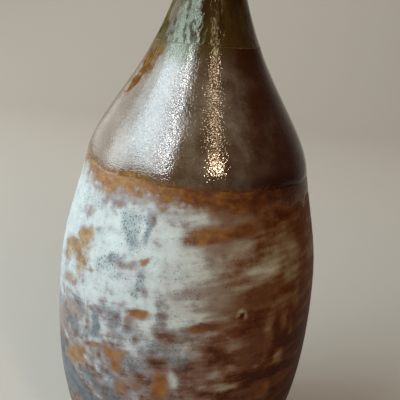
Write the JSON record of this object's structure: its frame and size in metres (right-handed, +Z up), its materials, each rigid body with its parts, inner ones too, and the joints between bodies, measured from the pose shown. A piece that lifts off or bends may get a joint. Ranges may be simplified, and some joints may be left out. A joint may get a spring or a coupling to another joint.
{
  "type": "bottle vase",
  "caption": "Tall wheel-thrown stoneware bottle vase: footed body with brushed pale slip, glossy brown glazed shoulder, narrow olive glazed neck and flared lip.",
  "frame": {"origin": "centre of the foot ring's resting plane", "axes": "+Z up along the pot's axis, -Y towards the side that the picture shows, +X to the picture's right"},
  "size_m": [0.1826, 0.1826, 0.3896],
  "materials": {
    "bare_clay": "dry matt stoneware",
    "joining_slip": "matt fired slip",
    "pale_slip": "satin brushed slip over brown clay",
    "amber_glaze": "satin, thin and streaky",
    "brown_glaze": "gloss with an orange-peel surface",
    "olive_glaze": "high gloss, smooth",
    "liner_glaze": "gloss"
  },
  "bodies": {
    "root": {"foot_ring": "bare_clay", "foot_lute": "joining_slip", "lower_section": "bare_clay", "belly_lute": "joining_slip", "middle_section": "bare_clay", "shoulder_lute": "joining_slip", "shoulder_section": "bare_clay", "neck_lute": "joining_slip", "neck_section": "bare_clay", "body_slip": "pale_slip", "amber_band": "amber_glaze", "shoulder_glaze": "brown_glaze", "neck_glaze": "olive_glaze", "liner_glaze": "liner_glaze"}
  },
  "joints": []
}
